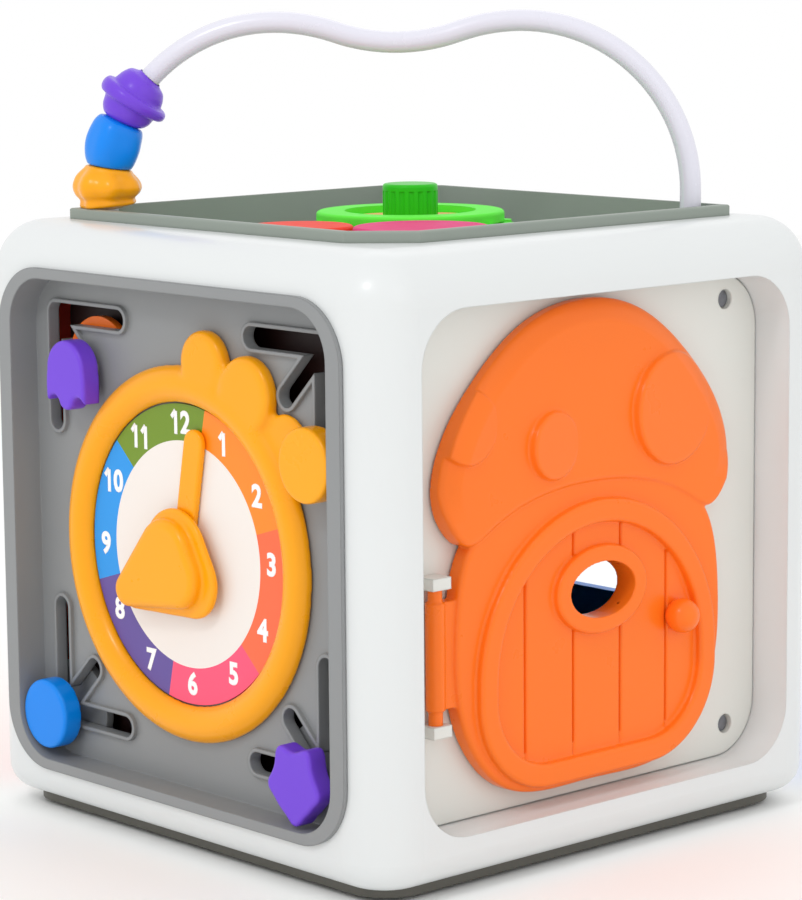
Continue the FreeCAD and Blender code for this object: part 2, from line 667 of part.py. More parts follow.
def lobed_gear(name, cap_radius, cap_top):
    """A gear with round lobes for teeth and a raised disc on top."""
    x, y = gear_places()[name]
    radius, low, high = pitch(name + "_teeth"), size("tooth_low"), size("tooth_high")
    shoulder = high + size("cap_gap")
    solid = Part.makeCylinder(radius - 2.9, shoulder - low, Vector(x, y, low))
    lobes = []
    for step in range(int(size(name + "_teeth"))):
        turn = math.radians(gear_phases()[name] + 360 * step / size(name + "_teeth"))
        near, far = radius - 5, radius - size("lobe_inset")
        ends = [(x + r * math.cos(turn), y + r * math.sin(turn)) for r in (near, far)]
        lobes.append(plate(stadium(*ends, size("lobe_radius")), low, high))
    solid = solid.multiFuse(lobes).removeSplitter()
    cap = Part.makeCylinder(cap_radius, cap_top - shoulder, Vector(x, y, shoulder))
    cap = soften(cap, 1, at_depth(cap_top))
    bore = Part.makeCylinder(size("axle_radius") + size("axle_fit"), 7, Vector(x, y, low - 1))
    return solid.fuse(cap).cut(bore).removeSplitter()


def gears():
    green = lobed_gear("green", 26.5, 170.3)
    x, y = gear_places()["green"]
    dish = Part.makeCylinder(18.5, 5, Vector(x, y, 168.2))
    keep(free("top", green.cut(dish)), "green_gear")
    keep(free("top", lobed_gear("pink", 18.5, 169.6)), "pink_gear")
    keep(free("top", lobed_gear("red", 14.8, 169.4)), "red_gear")
    knob = soften(Part.makeCylinder(7.75, 9.6, Vector(x, y, 168.2)), 0.9, at_depth(177.8))
    grooves = []
    for step in range(18):
        turn = math.radians(20 * step)
        middle = Vector(x + 8.3 * math.cos(turn), y + 8.3 * math.sin(turn), 168)
        grooves.append(Part.makeCylinder(0.95, 7.8, middle))
    keep(free("top", knob.cut(Part.makeCompound(grooves))), "gear_knob")


def gear_axles():
    """Pins pressed through the tray's floor from below; each has a head under the floor."""
    under = size("pan_floor") - size("pan_wall")
    pins = [join(rod("top", x, y, under - 1.6, "axle_radius + 2", "1.6"),
                 rod("top", x, y, under, "axle_radius", "8.4")) for x, y in gear_places().values()]
    return keep(group(*pins), "gear_axles")


# ---------------------------------------------------------------- handle and beads

def handle_path():
    """The bow in its own XZ plane: legs, quarter turns, two humps and the dip between them."""
    foot, hump, top, drop = (size(w) for w in ("foot_reach", "hump_reach", "hump_height", "dip_drop"))
    shoulder, turn = foot - hump, math.atan(drop / hump)
    bow = hump / (2 * math.sin(2 * turn))
    near = hump - bow * math.sin(turn), top - bow * (1 - math.cos(turn))
    low, root = top - shoulder, shoulder * math.sqrt(0.5)
    edges = [Part.Arc(Vector(-hump / 2, 0, top - drop / 2), Vector(0, 0, top - drop),
                      Vector(hump / 2, 0, top - drop / 2)).toShape()]
    for side in (-1, 1):
        edges += [
            Part.makeLine(Vector(side * foot, 0, 151.5), Vector(side * foot, 0, low)),
            Part.Arc(Vector(side * foot, 0, low), Vector(side * (hump + root), 0, low + root),
                     Vector(side * hump, 0, top)).toShape(),
            Part.Arc(Vector(side * hump, 0, top), Vector(side * near[0], 0, near[1]),
                     Vector(side * hump / 2, 0, top - drop / 2)).toShape()]
    return Part.Wire(Part.__sortEdges__(edges))


def handle_tube():
    path = handle_path()
    solids = []
    for radius in (size("tube_radius"), size("tube_bore")):
        foot = Vector(-size("foot_reach"), 0, 151.5)
        ring = Part.Wire(Part.makeCircle(radius, foot, Vector(0, 0, 1)))
        solids.append(path.makePipeShell([ring], True, True))
    return keep(free("handle", solids[0].cut(solids[1])), "handle_tube")


def handle_clips():
    foot = size("foot_reach") / math.sqrt(2)
    under = size("pan_floor") - size("pan_wall")
    rings = [cut(rod("top", s * foot, s * foot, under - 4, "tube_radius + 2.6", "4"),
                 rod("top", s * foot, s * foot, under - 5, "tube_radius + 0.05", "6")) for s in (-1, 1)]
    return keep(group(*rings), "handle_clips")


def thread_bead(shape, degrees, label):
    """Set a bead at its angle on the left quarter turn, and bore it along that turn."""
    hump, shoulder = size("hump_reach"), size("foot_reach") - size("hump_reach")
    height = size("hump_height") - shoulder
    turn = math.radians(degrees)
    shape.rotate(Vector(), Vector(0, 1, 0), degrees)
    shape.translate(Vector(-hump - shoulder * math.cos(turn), 0, height + shoulder * math.sin(turn)))
    middle = Vector(-hump, 0, height)
    bore = Part.makeTorus(shoulder, size("tube_radius") + size("bead_gap"), middle, Vector(0, 1, 0))
    return keep(free("handle", shape.cut(bore).removeSplitter()), label)


def turned(*profile):
    points = [Vector(r, 0, z) for r, z in profile]
    return Part.Face(Part.makePolygon(points + points[:1])).revolve(Vector(), Vector(0, 0, 1), 360)


def beads():
    core = turned((0, -5.2), (5.6, -5.2), (7.8, -2.6), (7.8, 2.2), (5.6, 5.2), (0, 5.2))
    balls = []
    for step in range(7):
        turn = math.radians(360 / 7 * step)
        balls.append(Part.makeSphere(3.7, Vector(6.3 * math.cos(turn), 6.3 * math.sin(turn), -0.4)))
    thread_bead(core.multiFuse(balls), 2, "orange_bead")
    lobes = []
    for step in range(5):
        turn = math.radians(72 * step + 20)
        lobe = Part.makeCylinder(4.3, 10.8, Vector(3.6 * math.cos(turn), 3.6 * math.sin(turn), -5.4))
        lobes.append(lobe.makeFillet(2.4, [e for e in lobe.Edges if abs(abs(e.CenterOfMass.z) - 5.4) < 0.01]))
    thread_bead(lobes[0].multiFuse(lobes[1:]), 16.9, "blue_bead")
    saucer = turned((0, -6.4), (5, -6.4), (7.8, -2.2), (9.2, -1.7), (9.8, 0),
                    (9.2, 1.7), (7.8, 2.2), (5, 6.4), (0, 6.4))
    thread_bead(saucer, 33.5, "purple_bead")


# ---------------------------------------------------------------- base

def base_plate():
    low = size("base_low")
    slab = block("top", 0, 0, low, "2 * base_half", "2 * base_half", "body_low - base_low",
                 size("base_corner"))
    lip = cut(block("top", 0, 0, low + 1, "2 * (opening_half - 0.4)", "2 * (opening_half - 0.4)", "5.8", 9.6),
              block("top", 0, 0, low, "2 * (opening_half - 2.4)", "2 * (opening_half - 2.4)", "12", 8))
    post = rod("top", -34, 0, low + 2.6, "3", "6")
    hatch = block("top", 0, 0, low - 1, "58", "50", "9", 2)
    ledge = block("top", 0, 0, low - 1, "62", "54", "2.8", 3)
    tab = block("top", -33, 0, low - 1, "10", "9", "2.8", 2)
    drill = rod("top", -34, 0, low, "1.2", "8")
    tools = [hatch, ledge, tab, drill]
    for x, y in base_spots:
        tools += [rod("top", x, y, low - 1, "3.2", "2.4"), rod("top", x, y, low, "1.5", "5")]
    return keep(cut(join(slab, lip, post), *tools), "base_plate")


def base_screws():
    low = size("base_low")
    screws = [join(rod("top", x, y, low + 0.1, "2.9", "1.3"), rod("top", x, y, low + 1.4, "1.4", "10"))
              for x, y in base_spots]
    return keep(group(*screws), "base_screws")


def feet():
    return keep(group(*[rod("top", x, y, 0, "6", "base_low") for x in (-58, 58) for y in (-58, 58)]), "feet")


def battery_parts():
    low = size("base_low")
    slab = block("top", 0, 0, low, "61.4", "53.4", "1.6", 2.7)
    tab = block("top", -33, 0, low, "9.4", "8.4", "1.6", 1.7)
    keep(cut(join(slab, tab), rod("top", -34, 0, low - 1, "1.3", "4"),
             rod("top", -34, 0, low - 1, "2.5", "1.8")), "battery_door")
    keep(join(rod("top", -34, 0, low, "2.2", "0.8"), rod("top", -34, 0, low + 0.8, "1.2", "6")),
         "battery_door_screw")
    wall, top, base = size("box_wall"), size("box_top"), size("body_low")
    outer = block("top", 0, 0, base, "56 + 2 * box_wall", "48 + 2 * box_wall", str(top - base), 2)
    inner = block("top", 0, 0, base - 1, "56", "48", str(top - base + 1 - wall))
    keep(cut(outer, inner), "battery_box")
    cells, ends = [], []
    middle = 12.6
    for row in (-1, 0, 1):
        along = row * size("cell_pitch")
        cell = doc.addObject("Part::Cylinder", "cell")
        cell.setExpression("Radius", rule("cell_radius"))
        cell.setExpression("Height", rule("cell_length"))
        cell.Placement = Placement(Vector(-25, along, middle), Rotation(Vector(0, 1, 0), 90))
        cells.append(cell)
        coil = doc.addObject("Part::Cone", "coil")
        coil.Radius1, coil.Radius2, coil.Height = 4.4, 2.4, 2.6
        coil.Placement = Placement(Vector(-27.8, along, middle), Rotation(Vector(0, 1, 0), 90))
        ends += [coil, block("top", 26.6, along, middle - 4, "2.6", "8", "8")]
    keep(group(*cells), "batteries")
    keep(group(*ends), "battery_contacts")


# ---------------------------------------------------------------- music panel

board_posts = [(x, y) for x in (-55, 55) for y in (38, 86)]
switch_spot = (45, 116)


def music_panel():
    floor = size("music_floor")
    back = floor - size("floor_wall")
    panel = framed_panel("left", floor, back)
    posts = [rod("left", x, y, size("board_front"), "3", str(back + 1 - size("board_front")))
             for x, y in board_posts]
    tools = [rod("left", x, y, size("board_front") - 1, "1.2", "7") for x, y in board_posts]
    for step in range(-2, 3):
        tools.append(block("left", step * size("key_pitch"), size("key_mid"), back - 1,
                           "key_wide + 0.6", "key_tall + 0.6", "5", 3.3))
    holes = [plate(disc(0, size("speaker_height"), 1.4), back - 1, floor + 1)]
    for ring, count in ((1, 6), (2, 12)):
        for step in range(count):
            turn = math.radians(360 * step / count)
            x, y = 5.4 * ring * math.cos(turn), size("speaker_height") + 5.4 * ring * math.sin(turn)
            holes.append(plate(disc(x, y, 1.4), back - 1, floor + 1))
    tools.append(free("left", Part.makeCompound(holes)))
    tools.append(block("left", *switch_spot, back - 1, "5", "12", "5"))
    return keep(cut(join(panel, *posts), *tools), "music_panel")


def keys():
    back = size("music_floor") - size("floor_wall")
    for step in range(5):
        x = (step - 2) * size("key_pitch")
        cap = block("left", x, size("key_mid"), back - 1, "key_wide", "key_tall", "key_front - 78", 3)
        flange = block("left", x, size("key_mid"), back - 1.8, "key_wide + 2.4", "key_tall + 2.4", "1.6", 2)
        keep(join(cap, flange), f"music_key_{step + 1}")


def electronics():
    front = size("board_front")
    slab = block("left", 0, size("key_mid"), front - 1.6, "118", "56", "1.6", 2)
    chip = block("left", 30, size("key_mid"), front - 3.2, "14", "14", "1.7")
    keep(cut(join(slab, chip), *[rod("left", x, y, front - 3, "1.3", "5") for x, y in board_posts]),
         "circuit_board")
    screws = [join(rod("left", x, y, front - 3, "2.4", "1.4"), rod("left", x, y, front - 1.6, "1.2", "6"))
              for x, y in board_posts]
    keep(group(*screws), "board_screws")
    sheet_pad = block("left", 0, size("key_mid"), front, "98", "30", "1", 2)
    domes = []
    for step in range(-2, 3):
        foot = Vector(step * size("key_pitch"), size("key_mid"), front + 0.5)
        domes.append(free("left", soften(Part.makeCylinder(4.5, 3.9, foot), 1.5, at_depth(front + 4.4))))
    keep(join(sheet_pad, *domes), "key_domes")
    back, y = size("music_floor") - size("floor_wall"), size("speaker_height")
    keep(cut(rod("left", 0, y, back - 4, "speaker_radius", "4"),
             rod("left", 0, y, back - 1.5, "speaker_radius - 2", "3")), "speaker_basket")
    keep(rod("left", 0, y, back - 11, "9", "7"), "speaker_magnet")
    x, y = switch_spot
    cap = block("left", x, y - 3.2, size("music_floor") + 0.4, "8", "6", "2.6", 1)
    stem = block("left", x, y - 3.2, back - 2.4, "4.4", "4.4", "6")
    keep(join(cap, stem), "power_switch_knob")
    keep(block("left", x, y, back - 8, "9", "16", "5"), "power_switch_case")


# ---------------------------------------------------------------- shape sorter

def sorter_panel():
    panel = framed_panel("back", 84, 80.4)
    x, low, side = -size("square_x"), size("square_low"), size("square_side")
    holes = [
        plate(polygon((x - side / 2, low), (x + side / 2, low), (x + side / 2, low + side),
                      (x - side / 2, low + side)), 78, 90),
        plate(disc(-40, 118, 15), 78, 90),
        plate(polygon((-16, 105), (18, 105), (1, 134.5)), 78, 90),
        plate(polygon(*[(42 + 16 * math.cos(math.radians(60 * k)), 118 + 16 * math.sin(math.radians(60 * k)))
                        for k in range(6)]), 78, 90)]
    return keep(cut(panel, free("back", Part.makeCompound(holes))), "sorter_panel")


def build():
    for make in (body_shell, clock_tray, clock_cover, clock_bezel, clock_dial, clock_spindle,
                 minute_hand, hour_hand, sliders, door_panel, door_panel_screws, mushroom_door,
                 door_knob, top_tray, top_tray_screws, gears, gear_axles, handle_tube,
                 handle_clips, beads, base_plate, base_screws, feet, battery_parts, music_panel,
                 keys, electronics, sorter_panel):
        make()


build()
doc.recompute()
for item in doc.Objects:
    if "Invalid" in item.State or "Error" in item.State:
        raise RuntimeError(f"{item.Name} ({item.Label}) did not recompute: {item.State}")
os.makedirs("parts", exist_ok=True)
for label, item in parts.items():
    shape = item.Shape
    if shape.isNull() or not shape.isValid() or not shape.Solids:
        raise RuntimeError(f"{label} has no valid solid")
    shape.exportStep(f"parts/{label}.step")
    print(f"{label:26s} {len(shape.Solids)} solids {shape.Volume:10.1f} mm3")
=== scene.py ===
import bmesh
import bpy
import math
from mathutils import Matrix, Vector
from mathutils.kdtree import KDTree


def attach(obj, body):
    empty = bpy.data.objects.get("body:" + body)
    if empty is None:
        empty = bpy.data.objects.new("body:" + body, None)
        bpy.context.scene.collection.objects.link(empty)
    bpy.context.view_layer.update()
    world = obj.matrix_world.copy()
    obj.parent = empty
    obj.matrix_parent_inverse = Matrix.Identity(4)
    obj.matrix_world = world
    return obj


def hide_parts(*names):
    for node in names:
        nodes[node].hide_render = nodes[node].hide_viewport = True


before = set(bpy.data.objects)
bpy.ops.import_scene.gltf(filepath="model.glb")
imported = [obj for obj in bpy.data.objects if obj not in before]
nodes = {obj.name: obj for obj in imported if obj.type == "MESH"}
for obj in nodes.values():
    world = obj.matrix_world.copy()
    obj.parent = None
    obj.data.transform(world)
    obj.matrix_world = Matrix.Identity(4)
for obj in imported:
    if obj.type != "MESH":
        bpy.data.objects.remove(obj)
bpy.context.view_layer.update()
print("stage: frame loaded,", len(nodes), "nodes")

mm = 0.001


# helpers for the scene

def deselectAll():
    bpy.ops.object.select_all(action="DESELECT")


def useOnly(piece):
    deselectAll()
    piece.select_set(True)
    bpy.context.view_layer.objects.active = piece


def applyAll(piece):
    useOnly(piece)
    for modifier in list(piece.modifiers):
        bpy.ops.object.modifier_apply(modifier=modifier.name)


def joinAll(pieces):
    deselectAll()
    for piece in pieces:
        piece.select_set(True)
    bpy.context.view_layer.objects.active = pieces[0]
    if len(pieces) > 1:
        bpy.ops.object.join()
    return bpy.context.object


def settle(piece, name, body, material):
    useOnly(piece)
    bpy.ops.object.transform_apply(location=True, rotation=True, scale=True)
    piece.name = name
    piece.data.materials.clear()
    piece.data.materials.append(material)
    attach(piece, body)
    return piece


def linear(hexText):  # an sRGB hex value as linear red, green, blue, alpha
    parts = [int(hexText[i:i + 2], 16) / 255 for i in (1, 3, 5)]
    return [c / 12.92 if c <= 0.04045 else ((c + 0.055) / 1.055) ** 2.4 for c in parts] + [1.0]


def addNode(material, kind, settings=None, links=None):
    node = material.node_tree.nodes.new(kind)
    for key, value in (settings or {}).items():
        if isinstance(key, int) or key in node.inputs:
            node.inputs[key].default_value = value
        else:
            setattr(node, key, value)
    for key, source in (links or {}).items():
        material.node_tree.links.new(source, node.inputs[key])
    return node


def startMaterial(name):
    material = bpy.data.materials.new(name)
    material.use_nodes = True
    material.node_tree.nodes.clear()
    return material


def finishMaterial(material, settings, links):
    shader = addNode(material, "ShaderNodeBsdfPrincipled", settings, links)
    addNode(material, "ShaderNodeOutputMaterial", {}, {"Surface": shader.outputs["BSDF"]})
    return material


# moulded plastics: an even colour, a faint tone drift where the melt flowed, a fine grain, a gloss that
# varies a little with handling, and edges that are never sharp
plastic = {"flow": 45 * mm, "handled": 11 * mm, "grainSize": 0.6 * mm, "grainDeep": 0.1 * mm,
           "duller": 0.09, "shinier": 0.05, "bleed": (2 * mm, 2 * mm, 2 * mm)}


def mouldedPlastic(name, colour, rough, grain=0.04, drift=0.06, coat=0.0, waxy=0.0, edgeMm=0.45, sheen=0.5):
    material = startMaterial(name)
    place = addNode(material, "ShaderNodeTexCoord").outputs["Object"]
    flow = addNode(material, "ShaderNodeTexNoise",
                   {"Scale": 1 / plastic["flow"], "Detail": 2.0, "Roughness": 0.5}, {"Vector": place})
    light = [min(1.0, c * (1 + drift)) for c in linear(colour)[:3]] + [1.0]
    dark = [c * (1 - drift) for c in linear(colour)[:3]] + [1.0]
    tone = addNode(material, "ShaderNodeMix", {"data_type": "RGBA", 6: dark, 7: light},
                   {0: flow.outputs["Fac"]})
    wear = addNode(material, "ShaderNodeTexNoise",
                   {"Scale": 1 / plastic["handled"], "Detail": 4.0, "Roughness": 0.6}, {"Vector": place})
    gloss = addNode(material, "ShaderNodeMapRange",
                    {"To Min": rough - plastic["shinier"], "To Max": rough + plastic["duller"]},
                    {"Value": wear.outputs["Fac"]})
    grit = addNode(material, "ShaderNodeTexNoise", {"Scale": 1 / plastic["grainSize"], "Detail": 2.0},
                   {"Vector": place})
    edge = addNode(material, "ShaderNodeBevel", {"samples": 4, "Radius": edgeMm * mm})
    bump = addNode(material, "ShaderNodeBump", {"Strength": grain, "Distance": plastic["grainDeep"]},
                   {"Height": grit.outputs["Fac"], "Normal": edge.outputs["Normal"]})
    return finishMaterial(
        material,
        {"IOR": 1.53, "Specular IOR Level": sheen, "Coat Weight": coat, "Coat Roughness": 0.12,
         "Subsurface Weight": waxy, "Subsurface Radius": plastic["bleed"], "Subsurface Scale": 1.0},
        {"Base Color": tone.outputs[2], "Roughness": gloss.outputs["Result"],
         "Normal": bump.outputs["Normal"]})


absWhite = mouldedPlastic("whiteAbsShell", "#DEE1E1", 0.30, grain=0.02, drift=0.012, coat=0.2)
absCream = mouldedPlastic("creamAbsPanel", "#E0E1DB", 0.36, grain=0.03, drift=0.02, edgeMm=0.7)
absGrey = mouldedPlastic("greyAbsTray", "#8B8D8E", 0.38, grain=0.05, drift=0.03, edgeMm=0.7)
absSage = mouldedPlastic("sageGreyAbsPan", "#8F988F", 0.42, grain=0.05, drift=0.03)
absYellow = mouldedPlastic("yellowAbs", "#FFA806", 0.27, grain=0.01, drift=0.035, coat=0.12, sheen=0.25)
absOrange = mouldedPlastic("orangeAbsDoor", "#FB761A", 0.28, grain=0.01, drift=0.02, coat=0.1, sheen=0.25)
absPearl = mouldedPlastic("pearlAbsHandle", "#DEDDE8", 0.24, grain=0.01, drift=0.02, coat=0.4)
# painted shade: the cover behind the clock's slots is a near-black maroon, so the shade inside the slots
# reads dark with a faint red tint
absShadeMaroon = mouldedPlastic("nearBlackCoverPaintedShade", "#260B07", 0.5, grain=0.04, drift=0.08)
absBlue = mouldedPlastic("blueAbs", "#0086EE", 0.30, grain=0.01, drift=0.04, coat=0.08, sheen=0.25)
absPurple = mouldedPlastic("purpleAbs", "#7444D8", 0.30, grain=0.01, drift=0.04, coat=0.08, sheen=0.25)
absGreen = mouldedPlastic("greenAbsKnob", "#25BE08", 0.33, grain=0.02, drift=0.05, sheen=0.25)
absLime = mouldedPlastic("limeAbsGear", "#62EE44", 0.5, grain=0.02, drift=0.04, sheen=0.12)
absPink = mouldedPlastic("pinkAbsGear", "#DE2C78", 0.5, grain=0.02, drift=0.04, sheen=0.12)
absCoral = mouldedPlastic("coralAbsGear", "#EC3A24", 0.5, grain=0.02, drift=0.04, sheen=0.12)
absIvory = mouldedPlastic("ivoryAbsKeys", "#F2EEE4", 0.32, grain=0.02, drift=0.03)
absCharcoal = mouldedPlastic("charcoalAbsBase", "#55534B", 0.5, grain=0.08, drift=0.05)
rubberDark = mouldedPlastic("blackRubberFeet", "#2B2B2A", 0.7, grain=0.15, drift=0.1)
siliconeGrey = mouldedPlastic("translucentSiliconeDomes", "#C9C9C4", 0.55, grain=0.02, drift=0.04, waxy=0.2)
boardGreen = mouldedPlastic("solderMaskedLaminate", "#1E5B38", 0.35, grain=0.02, drift=0.08)
cellWrap = mouldedPlastic("printedCellSleeve", "#245A41", 0.3, grain=0.01, drift=0.05)
printWhite = mouldedPlastic("whitePadPrint", "#FFFFFF", 0.4, grain=0.0, drift=0.01)
printPeach = mouldedPlastic("peachPadPrint", "#F7A35C", 0.4, grain=0.0, drift=0.02)
printLemon = mouldedPlastic("lemonPadPrint", "#EEF04E", 0.4, grain=0.0, drift=0.02)


# plated steel: drawn wire and stamped parts, with a bluish haze that also dulls the gloss
steel = {"haze": 4 * mm, "hazeColour": "#A9ACB4", "duller": 0.1, "shinier": 0.06}


def platedSteel(name, colour, rough):
    material = startMaterial(name)
    place = addNode(material, "ShaderNodeTexCoord").outputs["Object"]
    haze = addNode(material, "ShaderNodeTexNoise", {"Scale": 1 / steel["haze"], "Detail": 3.0},
                   {"Vector": place})
    tone = addNode(material, "ShaderNodeMix",
                   {"data_type": "RGBA", 6: linear(steel["hazeColour"]), 7: linear(colour)},
                   {0: haze.outputs["Fac"]})
    gloss = addNode(material, "ShaderNodeMapRange",
                    {"To Min": rough - steel["shinier"], "To Max": rough + steel["duller"]},
                    {"Value": haze.outputs["Fac"]})
    return finishMaterial(material, {"Metallic": 1.0},
                          {"Base Color": tone.outputs[2], "Roughness": gloss.outputs["Result"]})


zincSteel = platedSteel("zincPlatedSteel", "#C8CACC", 0.3)
# partly painted shade: the door panel's screws are a black-oxide steel, and their darkness also stands in
# for the shadow in their deep wells
darkScrewSteelShade = platedSteel("darkScrewSteelPaintedShade", "#3B3B3D", 0.42)


# the dial's card and its numerals; a one is a bar and a leaning flag, each (across, up, length, lean)
dial = {"height": 82 * mm, "turned": 2.6, "numberOrbit": 35.7 * mm, "numberSize": 8.3 * mm,
        "pitch": 4.3 * mm, "discRadius": 31 * mm, "front": -78.1 * mm, "ink": 0.12 * mm, "bold": 0.34 * mm,
        "one": ((0.2, 0, 6.3, 0), (-0.75, 2.3, 2.6, 42)), "strokeWide": 1.35 * mm, "flagThin": 0.7,
        "fibre": 0.8 * mm, "fibreDeep": 0.05 * mm, "disc": "#F1EAE4",
        "sectors": ("#FF8A0A", "#FF6A3C", "#FF5078", "#5F4B9B", "#0A96EB", "#6E8F06")}


# offset-printed card under clear lacquer: flat, even inks that meet in sharp lines
def printedDial():
    material = startMaterial("printedDialCard")
    place = addNode(material, "ShaderNodeTexCoord").outputs["Object"]
    axes = addNode(material, "ShaderNodeSeparateXYZ", {}, {"Vector": place})
    up = addNode(material, "ShaderNodeMath", {"operation": "SUBTRACT", 1: dial["height"]},
                 {0: axes.outputs["Z"]})
    turn = addNode(material, "ShaderNodeMath", {"operation": "ARCTAN2"},
                   {0: axes.outputs["X"], 1: up.outputs["Value"]})
    # the first sector starts half an hour past 12
    start = (math.radians(dial["turned"]) - math.pi / 12) / math.tau
    share = addNode(material, "ShaderNodeMath", {"operation": "MULTIPLY_ADD", 1: 1 / math.tau, 2: start + 1},
                    {0: turn.outputs["Value"]})
    loop = addNode(material, "ShaderNodeMath", {"operation": "FRACT"}, {0: share.outputs["Value"]})
    ramp = addNode(material, "ShaderNodeValToRGB", {}, {"Fac": loop.outputs["Value"]})
    ramp.color_ramp.interpolation = "CONSTANT"
    stops = ramp.color_ramp.elements
    while len(stops) < len(dial["sectors"]):
        stops.new(0.5)
    for step, colour in enumerate(dial["sectors"]):
        stops[step].position = step / len(dial["sectors"])
        stops[step].color = linear(colour)
    flat = addNode(material, "ShaderNodeCombineXYZ", {}, {"X": axes.outputs["X"], "Z": up.outputs["Value"]})
    reach = addNode(material, "ShaderNodeVectorMath", {"operation": "LENGTH"}, {0: flat.outputs["Vector"]})
    ring = addNode(material, "ShaderNodeMath", {"operation": "GREATER_THAN", 1: dial["discRadius"]},
                   {0: reach.outputs["Value"]})
    ink = addNode(material, "ShaderNodeMix", {"data_type": "RGBA", 6: linear(dial["disc"])},
                  {0: ring.outputs["Value"], 7: ramp.outputs["Color"]})
    fibre = addNode(material, "ShaderNodeTexNoise", {"Scale": 1 / dial["fibre"], "Detail": 3.0},
                    {"Vector": place})
    bump = addNode(material, "ShaderNodeBump", {"Strength": 0.03, "Distance": dial["fibreDeep"]},
                   {"Height": fibre.outputs["Fac"]})
    return finishMaterial(material, {"Roughness": 0.38, "IOR": 1.5},
                          {"Base Color": ink.outputs[2], "Normal": bump.outputs["Normal"]})


dialCard = printedDial()

# each frame node's material
carried = {
    "body_shell": absWhite, "clock_tray": absGrey, "clock_bezel": absYellow, "clock_dial": dialCard,
    "clock_spindle": absIvory, "clock_cover": absShadeMaroon, "clock_cover_screws": zincSteel,
    "minute_hand": absYellow, "hour_hand": absYellow, "slider_ghost": absPurple,
    "slider_yellow": absYellow, "slider_blue": absBlue, "slider_bear": absPurple,
    "door_panel": absCream, "door_panel_screws": darkScrewSteelShade, "mushroom_door": absOrange,
    "door_knob": absOrange, "top_tray": absSage, "top_tray_screws": zincSteel, "green_gear": absLime,
    "pink_gear": absPink, "red_gear": absCoral, "gear_knob": absGreen, "gear_axles": zincSteel,
    "handle_tube": absPearl, "handle_clips": zincSteel, "orange_bead": absYellow, "blue_bead": absBlue,
    "purple_bead": absPurple, "base_plate": absCharcoal, "base_screws": zincSteel, "feet": rubberDark,
    "battery_door": absCharcoal, "battery_door_screw": zincSteel, "battery_box": absCharcoal,
    "batteries": cellWrap, "battery_contacts": zincSteel, "music_panel": absCoral,
    "circuit_board": boardGreen, "board_screws": zincSteel, "key_domes": siliconeGrey,
    "speaker_basket": zincSteel, "speaker_magnet": zincSteel, "power_switch_knob": absIvory,
    "power_switch_case": absCharcoal, "sorter_panel": absBlue, "music_key_1": absOrange,
    "music_key_2": absYellow, "music_key_3": absLime, "music_key_4": absPink, "music_key_5": absIvory}
for knob in ("ghost", "yellow", "blue", "bear"):
    carried[f"slider_{knob}_retainer"] = absOrange if knob == "ghost" else absGrey
    carried[f"slider_{knob}_screw"] = zincSteel
for name, material in carried.items():
    nodes[name].data.materials.clear()
    nodes[name].data.materials.append(material)
print("stage: materials on the frame's nodes")


# a soft moulded skin over a CAD node: its copy is merged, wrapped in fine cells and relaxed, so its edges
# roll over
skin = {"weld": 0.01 * mm, "relax": 0.5}


def softSkin(node, name, cellMm, passes, body, slotName, material):
    mesh = nodes[node].data.copy()
    piece = bpy.data.objects.new(name, mesh)
    bpy.context.scene.collection.objects.link(piece)
    useOnly(piece)
    bpy.ops.object.mode_set(mode="EDIT")
    bpy.ops.mesh.select_all(action="SELECT")
    bpy.ops.mesh.remove_doubles(threshold=skin["weld"])
    bpy.ops.object.mode_set(mode="OBJECT")
    cells = piece.modifiers.new("cells", "REMESH")
    cells.mode = "VOXEL"
    cells.voxel_size = cellMm * mm
    cells.use_smooth_shade = True
    relax = piece.modifiers.new("relax", "SMOOTH")
    relax.factor = skin["relax"]
    relax.iterations = passes
    applyAll(piece)
    bpy.ops.object.shade_smooth()
    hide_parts(node)
    return settle(piece, name, body, material)


# numerals: printed characters a hair thicker than the card
def digit(char):
    if char == "1":
        strokes = []
        for across, up, long, lean in dial["one"]:
            bpy.ops.mesh.primitive_cube_add(size=1)
            stroke = bpy.context.object
            thick = dial["ink"] * (dial["flagThin"] if lean else 1)
            stroke.dimensions = (dial["strokeWide"], thick, long * mm)
            stroke.rotation_euler = (0, math.radians(lean), 0)
            stroke.location = (across * mm, 0, up * mm)
            strokes.append(stroke)
        figure = joinAll(strokes)
    else:
        bpy.ops.object.text_add(rotation=(math.pi / 2, 0, 0))
        figure = bpy.context.object
        figure.data.body = char
        figure.data.align_x = "CENTER"
        figure.data.align_y = "CENTER"
        figure.data.size = dial["numberSize"]
        figure.data.offset = dial["bold"]
        figure.data.extrude = dial["ink"] / 2
        figure.data.resolution_u = 4
        bpy.ops.object.convert(target="MESH")
        figure = bpy.context.object
    useOnly(figure)
    bpy.ops.object.transform_apply(location=True, rotation=True, scale=True)
    return figure


def dialNumbers():
    for hour in range(1, 13):
        turn = math.radians(30 * hour - dial["turned"])
        figures = [digit(char) for char in str(hour)]
        for step, figure in enumerate(figures):
            across = (step - (len(figures) - 1) / 2) * dial["pitch"]
            figure.location = (dial["numberOrbit"] * math.sin(turn) + across, dial["front"],
                               dial["height"] + dial["numberOrbit"] * math.cos(turn))
        settle(joinAll(figures), f"dial_number_{hour}", "body", printWhite)


dialNumbers()
print("stage: dial printed")


# clock pieces and sliding knobs, as (cell in mm, smoothing passes, body, slot, material)
skins = {
    "clock_bezel": (0.5, 34, "body", "yellow_plastic", absYellow),
    "minute_hand": (0.35, 5, "minute_hand", "yellow_plastic", absYellow),
    "hour_hand": (0.4, 9, "hour_hand", "yellow_plastic", absYellow),
    "slider_ghost": (0.35, 4, "slider_ghost", "purple_plastic", absPurple),
    "slider_bear": (0.35, 6, "slider_bear", "purple_plastic", absPurple),
    "slider_blue": (0.4, 7, "slider_blue", "blue_plastic", absBlue),
    "slider_yellow": (0.4, 7, "slider_yellow", "yellow_plastic", absYellow)}
for name, values in skins.items():
    softSkin(name, name + "_skin", *values)
print("stage: soft skins")


